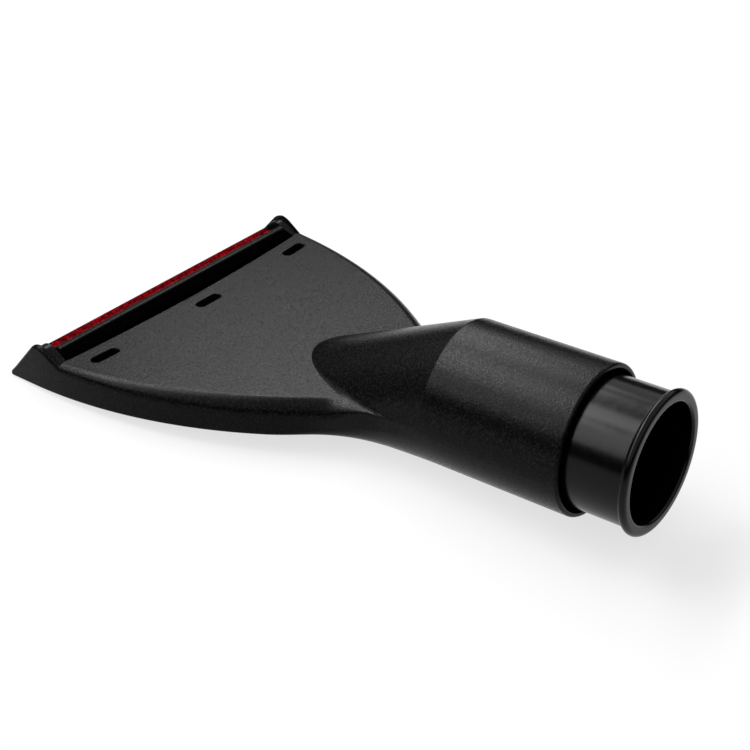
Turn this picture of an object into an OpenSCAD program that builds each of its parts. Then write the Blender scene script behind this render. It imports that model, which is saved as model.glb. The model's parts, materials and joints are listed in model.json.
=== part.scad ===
// Upholstery nozzle for a vacuum cleaner: a flat fan-shaped head on a round
// sleeve, a swivelling socket cuff for the wand, a bar that closes the front of
// the mouth beside the suction slot, and the lint strip on the bar's nose.
//
// The nozzle is drawn about the sleeve's axis: y = 0 is the mouth of the socket,
// +y leaves the socket, x runs across the head and z is up. It is then tipped by
// rest_tilt about x, so that the sleeve and the front lip both lie on a table.

/* [Socket cuff] */
// Inside diameter of the socket that takes the wand
socket_d = 35; // [30:0.5:37]
// Wall thickness of the cuff
cuff_wall = 2.1; // [1.6:0.1:2.4]
// Depth of the socket, up to its stop
socket_depth = 38; // [34:0.5:40]
// Height of the stop ledge at the socket's inner end
stop_h = 1.2; // [0.8:0.1:1.8]
// Thickness of the stop ledge
stop_t = 1.6; // [1.2:0.1:2.4]
// Length of the cuff that stands out of the sleeve
cuff_show = 19.6; // [15:0.2:24]
// Height of the rolled bead at the socket's mouth
bead_h = 1.5; // [0.8:0.1:2]
// Length of the rolled bead along the cuff
bead_len = 2.6; // [2:0.1:4]
// Height of the snap rib that holds the cuff in the sleeve
rib_h = 0.7; // [0.4:0.1:0.8]
// Width of the snap rib
rib_w = 2.2; // [1.8:0.1:3]
// Width of the slits that let the rib's end flex
slit_w = 1.6; // [1:0.1:2.4]
// Length of the slits
slit_len = 7; // [5:0.5:9]
// Number of slits
slit_count = 4; // [3:1:6]

/* [Sleeve] */
// Outside diameter of the sleeve
sleeve_d = 45; // [44.4:0.2:50]
// Length of the sleeve's straight round part
sleeve_len = 44.4; // [40:0.2:56]
// Radial gap of the open recess around the cuff
recess_gap = 1.5; // [1:0.1:1.6]
// Depth of the open recess
recess_depth = 8; // [5:0.5:10]
// Radial running clearance of the cuff
run_gap = 0.05; // [0.03:0.01:0.09]
// Axial play of the cuff in the sleeve
play = 0.2; // [0.1:0.05:0.4]

/* [Head] */
// Width of the head across the mouth
mouth_w = 117; // [110:1:124]
// Length of the head, from the sleeve to the tip of the front lip
head_len = 134.4; // [130:0.2:150]
// Height of the flat head
head_h = 11.4; // [11:0.2:14]
// Drop of the head's top face below the sleeve's axis, where the head meets the sleeve
head_drop = 2.1; // [1:0.1:4]
// Pitch of the head against the sleeve's axis, in degrees
head_pitch = 0.75; // [0:0.05:2]
// Wall thickness of the body
wall = 2.2; // [1.6:0.1:2.4]
// Radius of the shoulder curve beside the mouth
shoulder_r = 150; // [140:1:160]
// Radius of the neck curve before the sleeve
neck_r = 46; // [40:1:50]
// Straight run between the neck curve and the sleeve
neck_run = 11; // [8:0.5:14]
// Rounding of the head's top edges at the mouth
edge_r = 1.5; // [0.8:0.1:2]
// Growth of that rounding towards the neck
edge_grow = 4.3; // [0:0.1:4.5]
// Rounding of the head's bottom edges
base_r = 0.8; // [0.6:0.1:1.6]
// Fall of the round ramp from the sleeve down to the head's top, in degrees
ramp_fall = 23.9; // [20:0.1:28]
// Radius of the fillets beside the ramp, where they are widest
ramp_fillet = 5; // [1:0.1:6]
// Length of the blend from the sleeve's round underside to the head's flat one
belly_len = 46; // [36:1:56]

/* [Mouth] */
// Angle of the mouth's front face, in degrees
front_angle = 46.5; // [42:0.5:52]
// Height of the front lip's edge
tip_h = 2.1; // [1.6:0.1:3]
// Height of the cheek lobes above the head's top face
lobe_h = 3.8; // [3.2:0.1:4.6]
// Rounding of the cheek lobes
lobe_r = 4.6; // [4:0.1:5]
// Slope of the lobes' back, in degrees
lobe_fall = 32; // [28:1:36]
// Thickness of the cheeks' outer rims
rim_w = 1.7; // [1.2:0.1:2.2]
// Width of the ledge inside each rim
ledge_w = 3.4; // [2.8:0.1:4.4]
// Step down from the rims to the ledges
ledge_step = 1.1; // [0.7:0.1:1.5]
// Suction slot: distance from the bar's lip to the head's top edge, at the middle
slot_gap = 5.8; // [5:0.1:6.6]
// Radius of the bow of the slot's edge and of the row of air vents
bow_r = 700; // [600:10:900]
// Thickness of the floor under the mouth
floor_t = 1.9; // [1.4:0.1:2.4]

/* [Air vents] */
// Number of air vents in the head's top
vent_count = 3; // [1:2:3]
// Spacing of the vents
vent_pitch = 44.6; // [30:0.2:46]
// Length of a vent
vent_l = 10.4; // [8:0.2:12]
// Width of a vent
vent_w = 3.7; // [3:0.1:4.4]
// Distance from the slot's edge to the row of vents
vent_back = 6.6; // [5:0.1:9]

/* [Strip bar] */
// Clearance at each end of the bar
bar_gap = 0.3; // [0.2:0.1:0.6]
// Distance from the tip of the front lip to the back of the bar's lip
lip_in = 19.2; // [18:0.2:20.4]
// Height of the bar's lip above the head's top face
lip_rise = 2.4; // [2:0.1:2.6]
// Width of the bar's lip behind the strip
lip_w = 1.5; // [1.2:0.1:2]
// Height of the lip's back face
lip_h = 5; // [4.6:0.1:6]
// Wall thickness of the bar
bar_wall = 1.8; // [1.4:0.1:2.2]
// Setback of the bar's front wall behind the cheeks' front edges
bar_set = 1.2; // [0.8:0.1:1.4]
// Width of the edge in front of the strip
bar_edge = 0.8; // [0.6:0.1:1.2]
// Length of the tenons that hold the bar in the cheeks
tenon_l = 2; // [1.5:0.1:2.5]
// Width of the tenons
tenon_w = 4; // [3:0.1:5]
// Clearance around the tenons and under the bar's foot
tenon_gap = 0.15; // [0.1:0.05:0.3]

/* [Lint strip] */
// Width of the strip
strip_w = 6.4; // [5.8:0.1:6.8]
// Thickness of the strip at its edges, backing and pile
strip_t = 1.4; // [1:0.1:1.6]
// Crown of the pile
strip_crown = 0.6; // [0.2:0.1:1]

/* [Hidden] */

over = 1;
round_fn = 96;
near = 0.02;
arc_n = 6;
fillet_n = 2;
corner_n = 4;
belly_n = 7;

// Cuff and sleeve
socket_r = socket_d / 2;
cuff_r = socket_r + cuff_wall;
sleeve_r = sleeve_d / 2;
tail_len = slit_len + 1.4;
cuff_len = socket_depth + stop_t + tail_len;
neck_y = cuff_show + sleeve_len;
rib_gap = 0.15;

// Plan of the head: shoulder and neck curves that meet in one tangent
mouth_x = mouth_w / 2;
plan_turn = acos(1 - (mouth_x - sleeve_r) / (shoulder_r + neck_r));
neck_end = -neck_run;
plan_mid = neck_end - neck_r * sin(plan_turn);
shoulder_end = plan_mid - shoulder_r * sin(plan_turn);
function half_w(y) =
    y >= neck_end ? sleeve_r
    : y >= plan_mid ? sleeve_r + neck_r - sqrt(pow(neck_r, 2) - pow(neck_end - y, 2))
    : y >= shoulder_end ? mouth_x - shoulder_r + sqrt(pow(shoulder_r, 2) - pow(y - shoulder_end, 2))
    : mouth_x;

// Side view of the head, measured from the plane where it meets the sleeve
function top_z(y) = -head_drop - y * tan(head_pitch);
function base_z(y) = top_z(y) - head_h;
tip_y = -head_len;
tip_z = base_z(tip_y) + tip_h;
lobe_z = top_z(tip_y) + lobe_h - lobe_r;
lobe_y = tip_y + (lobe_r + (lobe_z - tip_z) * cos(front_angle)) / sin(front_angle);

// Height of the lobes' outline, inset by d
function lobe_front(d) = lobe_y - (lobe_r - d) * sin(front_angle);
function lobe_back(d) = lobe_y + (lobe_r - d) * sin(lobe_fall);
function lobe_top(y, d = 0) =
    y < lobe_front(d)
    ? lobe_z + (lobe_r - d) * cos(front_angle) - (lobe_front(d) - y) * tan(front_angle)
    : y < lobe_back(d) ? lobe_z + sqrt(pow(lobe_r - d, 2) - pow(y - lobe_y, 2))
    : lobe_z + (lobe_r - d) * cos(lobe_fall) - (y - lobe_back(d)) * tan(lobe_fall);
function skin_z(y) = y < lobe_y ? lobe_top(y) : max(top_z(y), lobe_top(y));
function front_y(z, d) = lobe_front(d) - (lobe_top(lobe_front(d), d) - z) / tan(front_angle);
lobe_end = lobe_back(0) + (lobe_top(lobe_back(0)) - top_z(lobe_back(0)))
    / (tan(lobe_fall) - tan(head_pitch));

// Mouth and bar
cheek_x = mouth_x - rim_w - ledge_w;
ledge_x = mouth_x - rim_w;
lip_back = tip_y + lip_in;
lip_front = lip_back - lip_w;
lip_top = top_z(lip_back) + lip_rise;
slot_y = lip_back + slot_gap;
strip_front = lip_front - strip_w;
strip_low = lobe_top(strip_front - bar_edge, bar_set);
function crown_z(u) = strip_low + (lip_top - strip_low) * u + 4 * strip_crown * u * (1 - u);

// Resting attitude: the sleeve's lower edge and the front lip on one plane
rest_tilt = atan((sleeve_r + base_z(tip_y)) / head_len);

// Points of the lobes' outline at inset d, from y0 to y1
function outline(y0, y1, d, n) = [for (i = [0:n])
    let (y = y0 + (y1 - y0) * i / n) [y, lobe_top(y, d)]];

// Smooth step from 0 to 1
function ease(u) = let (v = min(max(u, 0), 1)) v * v * (3 - 2 * v);

// Round ramp that falls from the sleeve's top into the head's top face: the height of
// its centre at y, and the fillets beside it, which grow from the ramp's nose
nose_y = -(sleeve_r + head_drop) / (tan(ramp_fall) + tan(head_pitch));
function ramp_z(y) = y * tan(ramp_fall);
function ramp_foot(y) = y <= nose_y ? 0
    : sqrt(max(0, pow(sleeve_r, 2) - pow(min(sleeve_r, top_z(y) - ramp_z(y)), 2)));
function edge_at(y) = edge_r
    + edge_grow * sqrt(max(0, min(1, (y - lobe_y) / (0.65 * nose_y - lobe_y))));
function fillet_at(y, t) = let (r = sleeve_r - near - t, d = top_z(y) - ramp_z(y) - t,
    x = half_w(y) - t - 0.5)
    max(0.3, min(ramp_fillet * 1.6 * (1 - y / nose_y) + t,
        (pow(x, 2) - pow(r, 2) + pow(d, 2)) / (2 * (r - d))));

// One half ring of the head at y, inset by t: ramp, fillet, top corner, side and
// underside. Towards the sleeve its points move over onto the sleeve's circle.
function half_ring(y, t) =
    let (zt = skin_z(y) - t, zb = base_z(y) + t, r = sleeve_r - near - t,
         on_ramp = y > nose_y, zc = ramp_z(y), f = fillet_at(y, t),
         xf = on_ramp ? sqrt(pow(r + f, 2) - pow(zt + f - zc, 2)) : 6,
         a1 = on_ramp ? atan2(xf, zt + f - zc) : 0,
         w = max(half_w(y) - t, xf + 0.3),
         rt = max(min(edge_at(y) - t, (zt - zb) / 2 - 0.1, w - xf - 0.1), 0.2),
         rb = min(max(base_r - t, 0.6), (zt - zb) / 2 - 0.1),
         side_n = fillet_n + corner_n + 1, a2 = 94 + asin((head_drop + t) / (sleeve_r - t)),
         s_top = ease(1 + y / 12), s_low = ease(1 + y / belly_len))
    concat(
        [for (i = [0:arc_n]) on_ramp ? [r * sin(a1 * i / arc_n), zc + r * cos(a1 * i / arc_n)]
            : [5 * i / arc_n, zt]],
        [for (i = [1:side_n]) let (a = a1 * (1 - i / fillet_n), c = 90 - 90 * (i - fillet_n - 1) / corner_n,
            b = a1 + (a2 - a1) * i / side_n,
            p = i > fillet_n ? [w - rt + rt * cos(c), zt - rt + rt * sin(c)]
                : on_ramp ? [xf - f * sin(a), zt + f - f * cos(a)] : [5 + i / fillet_n, zt])
            p + ([r * sin(b), r * cos(b)] - p) * s_top],
        [for (i = [1:belly_n]) let (a = 90 * i / belly_n, b = a2 + (176 - a2) * i / belly_n,
            p = [w - rb + rb * cos(a), zb + rb - rb * sin(a)])
            p + ([r * sin(b), r * cos(b)] - p) * s_low]);

function ring(y, t) = let (h = half_ring(y, t), n = len(h)) concat(
    [for (p = h) [p[0], y, p[1]]],
    [for (i = [n - 1:-1:1]) [-h[i][0], y, h[i][1]]]);

function shift_y(pts, d) = [for (p = pts) [p[0], p[1] + d, p[2]]];

// Skin through rings of equal length, closed at both ends
module loft(rings) {
    n = len(rings[0]);
    m = len(rings);
    low = floor(n / 2);
    polyhedron(
        points = [for (r = rings) for (p = r) p],
        faces = concat(
            [for (i = [1:n - 2]) [low, (low + i) % n, (low + i + 1) % n]],
            [for (k = [0:m - 2]) for (i = [0:n - 1])
                let (a = k * n + i, b = k * n + (i + 1) % n) each [[b, a, a + n], [b, a + n, b + n]]],
            [for (i = [1:n - 2]) [(m - 1) * n + low, (m - 1) * n + (low + i + 1) % n,
                (m - 1) * n + (low + i) % n]]),
        convexity = 6);
}

// Stations of the loft: close over the lobes, wider along the fan
function span(y0, y1, n) = [for (i = [0:n - 1]) y0 + (y1 - y0) * i / n];
lobe_stations = concat(
    span(tip_y, lobe_front(0), 2), span(lobe_front(0), lobe_back(0), 5),
    span(lobe_back(0), lobe_end, 2), [lobe_end - 0.4, lobe_end + 0.6]);
fan_stations = concat(span(shoulder_end, nose_y, 7),
    [for (i = [0:11]) nose_y * (1 - pow(i / 12, 1.6))], [0]);
skin_stations = concat(lobe_stations, [for (y = fan_stations) if (y > lobe_end + 2) y]);
cavity_stations = concat([slot_y - 2 * wall], [for (y = fan_stations) if (y > slot_y) y]);

// Solid with the side view pts, in y and z, over the width from x0 to x1
module side_slab(x0, x1, pts) {
    translate([x0, 0, 0]) rotate([90, 0, 90]) linear_extrude(x1 - x0) polygon(pts);
}

// Ring about the sleeve's axis, its profile given as radius and y
module turned(pts) {
    rotate([-90, 0, 0]) rotate_extrude($fn = round_fn) polygon(pts);
}

module head_skin() {
    loft(concat([for (y = skin_stations) ring(y, 0)], [shift_y(ring(0, 0), 0.5)]));
    turned([[0, 0], [sleeve_r, 0], [sleeve_r, sleeve_len - 0.8],
        [sleeve_r - 0.8, sleeve_len], [0, sleeve_len]]);
}

// Air way and bearing of the cuff inside the sleeve
module sleeve_bore() {
    seat_y = neck_y - cuff_len - play;
    groove_r = cuff_r + rib_h + rib_gap;
    turned([[0, 0], [sleeve_r - wall, 0], [sleeve_r - wall, seat_y - wall],
        [socket_r, seat_y - wall], [socket_r, seat_y],
        [groove_r, seat_y], [groove_r, seat_y + rib_w + 2 * play],
        [cuff_r + run_gap, seat_y + rib_w + 2 * play],
        [cuff_r + run_gap, sleeve_len - recess_depth],
        [cuff_r + recess_gap, sleeve_len - recess_depth],
        [cuff_r + recess_gap, sleeve_len + over], [0, sleeve_len + over]]);
}

// Hollow of the fan, open to the sleeve
module cavity() {
    loft(concat([for (y = cavity_stations) ring(y, wall)], [shift_y(ring(0, wall), 0.5)]));
}

// Opening between the cheeks, in front of the bowed edge of the head's top
module mouth_cut() {
    intersection() {
        side_slab(-cheek_x, cheek_x, [[tip_y - over, base_z(tip_y) + floor_t],
            [slot_y + over, base_z(slot_y) + floor_t], [slot_y + over, sleeve_r],
            [tip_y - over, sleeve_r]]);
        translate([0, slot_y - bow_r, -sleeve_d]) cylinder(r = bow_r, h = 2 * sleeve_d, $fn = 1440);
    }
}

// Step inside each rim, along the lobes' outline
module ledge_cut() {
    for (side = [0, 1]) mirror([side, 0, 0])
        side_slab(cheek_x - over, ledge_x, concat(
            outline(tip_y - over, lobe_front(ledge_step), ledge_step, 1),
            outline(lobe_front(ledge_step), lobe_back(ledge_step), ledge_step, 12),
            outline(lobe_back(ledge_step), slot_y, ledge_step, 1),
            [[slot_y, sleeve_r], [tip_y - over, sleeve_r]]));
}

// Vents on an arc that follows the slot's edge
module vents() {
    for (i = [0:vent_count - 1])
        translate([0, slot_y - bow_r, 0])
            rotate([0, 0, (i - (vent_count - 1) / 2) * -vent_pitch / bow_r * 180 / PI])
                translate([0, bow_r + vent_back, top_z(slot_y) - 2 * wall])
                    linear_extrude(4 * wall) {
                        square([vent_l - vent_w, vent_w], center = true);
                        for (x = [-1, 1]) translate([x * (vent_l - vent_w) / 2, 0])
                            circle(d = vent_w, $fn = 32);
                    }
}

// Tenons at the ends of the bar, or their pockets in the cheeks when grown by gap
module tenons(gap) {
    for (side = [-1, 1])
        translate([side * (cheek_x + (tenon_l - bar_gap) / 2), lobe_y,
            lip_top - lip_h + bar_wall / 2 + 0.2])
            cube([tenon_l + bar_gap + 2 * gap, tenon_w + 2 * gap, bar_wall + 2 * gap], center = true);
}

module body() color([0.09, 0.09, 0.09]) place() difference() {
    head_skin();
    sleeve_bore();
    cavity();
    mouth_cut();
    ledge_cut();
    vents();
    tenons(tenon_gap);
}

// Bar: a sloping front wall, the channel of the strip and the lip beside the slot
module strip_bar() color([0.08, 0.08, 0.08]) place() {
    foot_z = base_z(tip_y) + floor_t + tenon_gap;
    heel_z = lip_top - lip_h;
    side_slab(-cheek_x + bar_gap, cheek_x - bar_gap, [
        [front_y(foot_z, bar_set), foot_z],
        [strip_front - bar_edge, strip_low], [strip_front, strip_low],
        [strip_front, strip_low - strip_t], [lip_front, lip_top - strip_t],
        [lip_front, lip_top - 0.3], [lip_front + 0.3, lip_top],
        [lip_back - 0.5, lip_top], [lip_back, lip_top - 0.5], [lip_back, heel_z],
        [front_y(heel_z, bar_set + bar_wall), heel_z],
        [front_y(foot_z, bar_set + bar_wall), foot_z]]);
    tenons(0);
}

// Velour strip in the bar's channel
module lint_strip() color([0.6, 0.03, 0.06]) place() {
    side_slab(-cheek_x + bar_gap, cheek_x - bar_gap, concat(
        [[lip_front, lip_top - strip_t], [strip_front, strip_low - strip_t]],
        [for (i = [0:10]) [strip_front + strip_w * i / 10, crown_z(i / 10)]]));
}

// Cuff: socket with its stop, a rolled bead, and a slit tail with a snap rib
module socket_cuff() color([0.05, 0.05, 0.05]) rotate([rest_tilt, 0, 0]) difference() {
    bead_r = bead_len / 2;
    turned(concat(
        [[socket_r, 0], [socket_r, -socket_depth],
         [socket_r - stop_h, -socket_depth], [socket_r - stop_h, -socket_depth - stop_t],
         [socket_r, -socket_depth - stop_t], [socket_r, -cuff_len],
         [cuff_r, -cuff_len], [cuff_r + rib_h, -cuff_len + rib_w / 2],
         [cuff_r + rib_h, -cuff_len + rib_w], [cuff_r, -cuff_len + rib_w],
         [cuff_r, -bead_len]],
        [for (a = [-90:15:90]) [cuff_r + (bead_h) * cos(a), -bead_r + bead_r * sin(a)]]));
    for (i = [0:slit_count - 1]) rotate([0, i * 360 / slit_count, 0])
        translate([-slit_w / 2, -cuff_len - over, 0])
            cube([slit_w, slit_len + over, sleeve_d]);
}

// From the head's frame to the resting nozzle
module place() {
    rotate([rest_tilt, 0, 0]) translate([0, -neck_y, 0]) children();
}

body();
socket_cuff();
strip_bar();
lint_strip();
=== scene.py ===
"""Upholstery nozzle: its visible pieces, their finishes, and the stage they stand on.

Pieces are drawn in millimetres about the sleeve's axis, with y = 0 where the head meets
the sleeve, +y towards the socket and z up. place() brings them to the resting nozzle.
"""
import json
import math

import bmesh
import bpy
from mathutils import Matrix, Vector


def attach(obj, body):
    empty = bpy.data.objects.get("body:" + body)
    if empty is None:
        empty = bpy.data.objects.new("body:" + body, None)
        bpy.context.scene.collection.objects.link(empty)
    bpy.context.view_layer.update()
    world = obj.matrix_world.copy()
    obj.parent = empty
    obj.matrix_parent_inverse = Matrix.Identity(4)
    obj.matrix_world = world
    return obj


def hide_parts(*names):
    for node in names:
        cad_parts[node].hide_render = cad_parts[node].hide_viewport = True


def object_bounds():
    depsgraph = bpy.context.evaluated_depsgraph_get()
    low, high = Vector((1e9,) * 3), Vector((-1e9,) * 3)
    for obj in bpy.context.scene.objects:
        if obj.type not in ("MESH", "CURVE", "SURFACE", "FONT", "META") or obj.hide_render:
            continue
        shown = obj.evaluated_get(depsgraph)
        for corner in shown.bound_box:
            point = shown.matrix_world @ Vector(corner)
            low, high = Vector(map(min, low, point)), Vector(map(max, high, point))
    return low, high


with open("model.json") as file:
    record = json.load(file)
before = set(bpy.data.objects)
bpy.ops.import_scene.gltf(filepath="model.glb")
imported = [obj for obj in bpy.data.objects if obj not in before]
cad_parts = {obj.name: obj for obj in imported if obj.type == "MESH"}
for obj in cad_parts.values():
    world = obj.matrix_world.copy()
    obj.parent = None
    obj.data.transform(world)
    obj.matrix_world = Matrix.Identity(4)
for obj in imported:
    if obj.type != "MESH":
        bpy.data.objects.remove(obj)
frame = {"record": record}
cad_box = [list(corner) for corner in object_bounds()]

bl_info = {
    "name": "Upholstery Nozzle",
    "version": (1, 0, 0),
    "blender": (4, 5, 0),
    "location": "3D View > Sidebar > Nozzle",
    "description": "Makes a vacuum cleaner's upholstery nozzle with its finishes and stage",
    "category": "Object",
}

WAND_SOCKET = frame["record"]["mounts"][0]
REST_TILT = math.atan2(WAND_SOCKET["axis"][2], WAND_SOCKET["axis"][1])
TABLE_Z = cad_box[0][2]
MM = 0.001


# Sizes and colours

def length(name, millimetres, about):
    """A size held in metres; its default is written in millimetres."""
    return bpy.props.FloatProperty(
        name=name, description=about, default=millimetres * MM, min=0.0, unit="LENGTH",
        precision=5)


def slope(name, degrees, about):
    """An angle held in radians; its default is written in degrees."""
    return bpy.props.FloatProperty(
        name=name, description=about, default=math.radians(degrees), subtype="ANGLE")


def tint(name, value, about):
    """A linear colour."""
    return bpy.props.FloatVectorProperty(
        name=name, description=about, default=value, size=3, min=0.0, max=1.0,
        subtype="COLOR")


def amount(name, value, about, low=0.0, high=1.0):
    """A plain number, such as a roughness."""
    return bpy.props.FloatProperty(
        name=name, description=about, default=value, min=low, max=high)


def whole(name, value, about, low=0, high=400000):
    """A count or a seed."""
    return bpy.props.IntProperty(
        name=name, description=about, default=value, min=low, max=high)


class NozzleHeadSizes(bpy.types.PropertyGroup):
    """The flat head, its neck and the round ramp."""
    mouth_w: length("Mouth width", 117, "Width of the head across the mouth")
    head_len: length("Head length", 134.4, "From the sleeve to the tip of the front lip")
    head_h: length("Head height", 11.4, "Height of the flat head")
    head_drop: length("Head drop", 2.1, "Top face below the axis, at the sleeve")
    head_pitch: slope("Head pitch", 0.75, "Pitch of the head against the sleeve's axis")
    wall: length("Wall", 2.2, "Wall thickness of the body")
    shoulder_r: length("Shoulder radius", 150, "Curve of the sides beside the mouth")
    neck_r: length("Neck radius", 46, "Curve of the sides before the sleeve")
    neck_run: length("Neck run", 11, "Straight run between the neck curve and the sleeve")
    edge_r: length("Edge rounding", 1.4, "Rounding of the top edges at the mouth")
    edge_grow: length("Edge growth", 4.4, "Growth of that rounding towards the neck")
    base_r: length("Base rounding", 0.8, "Rounding of the bottom edges")
    ramp_fall: slope("Ramp fall", 23.35, "Fall of the ramp from the sleeve to the top face")
    ramp_fillet: length("Ramp fillet", 5, "Fillets beside the ramp, where they are widest")
    crease_end: length("Crease end", 18.2, "Where the top edge runs out, from the sleeve")
    crease_spread: slope("Crease spread", 23.3, "Angle at which the top edge opens from there")
    ramp_break: length("Ramp break", 0.35, "Rounding where the ramp leaves the sleeve")
    belly_len: length("Belly length", 46, "Blend of the underside from round to flat")


class NozzleMouthSizes(bpy.types.PropertyGroup):
    """The mouth: cheeks, suction slot and air vents."""
    front_angle: slope("Front angle", 46.5, "Angle of the mouth's front face")
    tip_h: length("Tip height", 2.1, "Height of the front lip's edge")
    lobe_h: length("Lobe height", 3.8, "Height of the cheek lobes above the top face")
    lobe_r: length("Lobe rounding", 5.5, "Rounding of the cheek lobes")
    lobe_fall: slope("Lobe fall", 32, "Slope of the lobes' back")
    rim_w: length("Rim width", 1.7, "Thickness of the cheeks' outer rims")
    ledge_w: length("Ledge width", 3.4, "Width of the ledge inside each rim")
    ledge_step: length("Ledge step", 1.1, "Step down from the rims to the ledges")
    slot_gap: length("Slot gap", 5.8, "From the bar's lip to the head's top edge")
    bow_r: length("Bow radius", 700, "Bow of the slot's edge and of the row of vents")
    floor_t: length("Floor", 1.9, "Thickness of the floor under the mouth")
    vent_count: whole("Vents", 3, "Number of air vents in the top", 1, 9)
    vent_pitch: length("Vent pitch", 44.6, "Spacing of the vents")
    vent_l: length("Vent length", 10.4, "Length of a vent")
    vent_w: length("Vent width", 3.7, "Width of a vent")
    vent_back: length("Vent setback", 6.6, "From the slot's edge to the row of vents")
    edge_soft: length("Edge softness", 0.22, "Rounding of the moulded edges of the mouth")


class NozzleSleeveSizes(bpy.types.PropertyGroup):
    """The sleeve and the cuff that turns in it."""
    sleeve_d: length("Sleeve diameter", 45, "Outside diameter of the sleeve")
    sleeve_len: length("Sleeve length", 44.4, "Length of the sleeve's round part")
    sleeve_edge: length("Sleeve edge", 0.8, "Rounding of the sleeve's open end")
    recess_gap: length("Recess gap", 1.5, "Radial gap of the open recess around the cuff")
    recess_depth: length("Recess depth", 8, "Depth of the open recess")
    run_gap: length("Running gap", 0.05, "Radial running clearance of the cuff")
    play: length("Play", 0.2, "Axial play of the cuff")
    socket_d: length("Socket diameter", WAND_SOCKET["dims"]["r_mm"] * 2, "Wand socket")
    cuff_wall: length("Cuff wall", 2.1, "Wall thickness of the cuff")
    socket_depth: length("Socket depth", 38, "Depth of the socket up to its stop")
    stop_h: length("Stop height", 1.2, "Height of the stop ledge")
    stop_t: length("Stop thickness", 1.6, "Thickness of the stop ledge")
    cuff_show: length("Cuff show", 19.6, "Length of the cuff outside the sleeve")
    bead_h: length("Bead height", 1.5, "Height of the rolled bead at the mouth")
    bead_len: length("Bead length", 2.6, "Length of the rolled bead")
    rib_h: length("Rib height", 0.7, "Height of the snap rib")
    rib_w: length("Rib width", 2.2, "Width of the snap rib")
    slit_w: length("Slit width", 1.6, "Width of the slits in the cuff's tail")
    slit_len: length("Slit length", 7, "Length of the slits")
    slit_count: whole("Slits", 4, "Number of slits in the cuff's tail", 2, 12)
    seam_w: length("Seam width", 0.3, "Width of the cuff's two parting lines")
    seam_h: length("Seam height", 0.12, "Height of the cuff's parting lines")
    seam_turn: slope("Seam place", 59, "Turn of the first parting line from the top")


class NozzleBarSizes(bpy.types.PropertyGroup):
    """The bar in the mouth and the velour strip on it."""
    bar_gap: length("Bar gap", 0.3, "Clearance at each end of the bar")
    lip_in: length("Lip inset", 19.2, "From the front tip to the back of the bar's lip")
    lip_rise: length("Lip rise", 2.4, "Height of the bar's lip above the top face")
    lip_w: length("Lip width", 2.6, "Width of the lip behind the strip")
    lip_h: length("Lip height", 5, "Height of the lip's back face")
    lip_round: length("Lip rounding", 0.6, "Rounding of the lip's top and ends")
    bar_wall: length("Bar wall", 1.8, "Wall thickness of the bar")
    bar_set: length("Bar setback", 1.2, "Front wall behind the cheeks' front edges")
    bar_edge: length("Bar edge", 0.8, "Width of the edge in front of the strip")
    tenon_l: length("Tenon length", 2, "Length of the tenons in the cheeks")
    tenon_w: length("Tenon width", 4, "Width of the tenons")
    tenon_gap: length("Tenon gap", 0.15, "Clearance around tenons and under the foot")
    strip_w: length("Strip width", 5.3, "Width of the velour strip")
    strip_t: length("Strip thickness", 1.4, "Thickness of the strip at its edges")
    strip_crown: length("Strip crown", 0.6, "Crown of the pile")
    strip_sink: length("Strip sink", 0.5, "Strip below the lip's top")
    strip_short: length("Strip short", 0.5, "Strip short of the bar at its near end")
    strip_far: length("Strip far end", 4.3, "Strip short of the bar at its far end")
    pile_h: length("Pile height", 0.55, "Length of the pile's fibres")
    pile_d: length("Fibre diameter", 0.20, "Thickness of a tuft of fibres")
    pile_density: whole("Pile density", 24, "Tufts on a square millimetre", 1, 80)
    pile_lean: slope("Pile lean", 24, "How far the tufts lean at most")
    pile_seed: whole("Pile seed", 7, "Seed of the tufts' places")


class NozzleFinishes(bpy.types.PropertyGroup):
    """Colours and surface values."""
    satin_tint: tint("Satin black", (0.0028, 0.0028, 0.0028), "Body and bar")
    satin_rough: amount("Satin roughness", 0.24, "Roughness of the body")
    satin_gloss: amount("Satin specular", 0.065, "Specular level of the body")
    gloss_tint: tint("Gloss black", (0.0012, 0.0012, 0.0012), "Socket cuff")
    gloss_rough: amount("Gloss roughness", 0.20, "Roughness of the cuff")
    gloss_gloss: amount("Gloss specular", 0.14, "Specular level of the cuff")
    grain: length("Grain", 0.55, "Width of a grain of the spark-eroded surface")
    grain_depth: length("Grain depth", 0.06, "Depth of the grain")
    # Velour tones: the light one is a painted highlight on the tufts and the dark one is
    # painted shade between them at their roots. Random patches lean to either tone.
    velour_painted_highlight_and_patches: tint("Velour, light", (0.90, 0.005, 0.026), "Painted highlight at the tufts' middles, and lighter random patches")
    velour_painted_shade_and_patches: tint("Velour, dark", (0.09, 0.0006, 0.003), "Painted shade between the tufts at their roots, and darker random patches")


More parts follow.
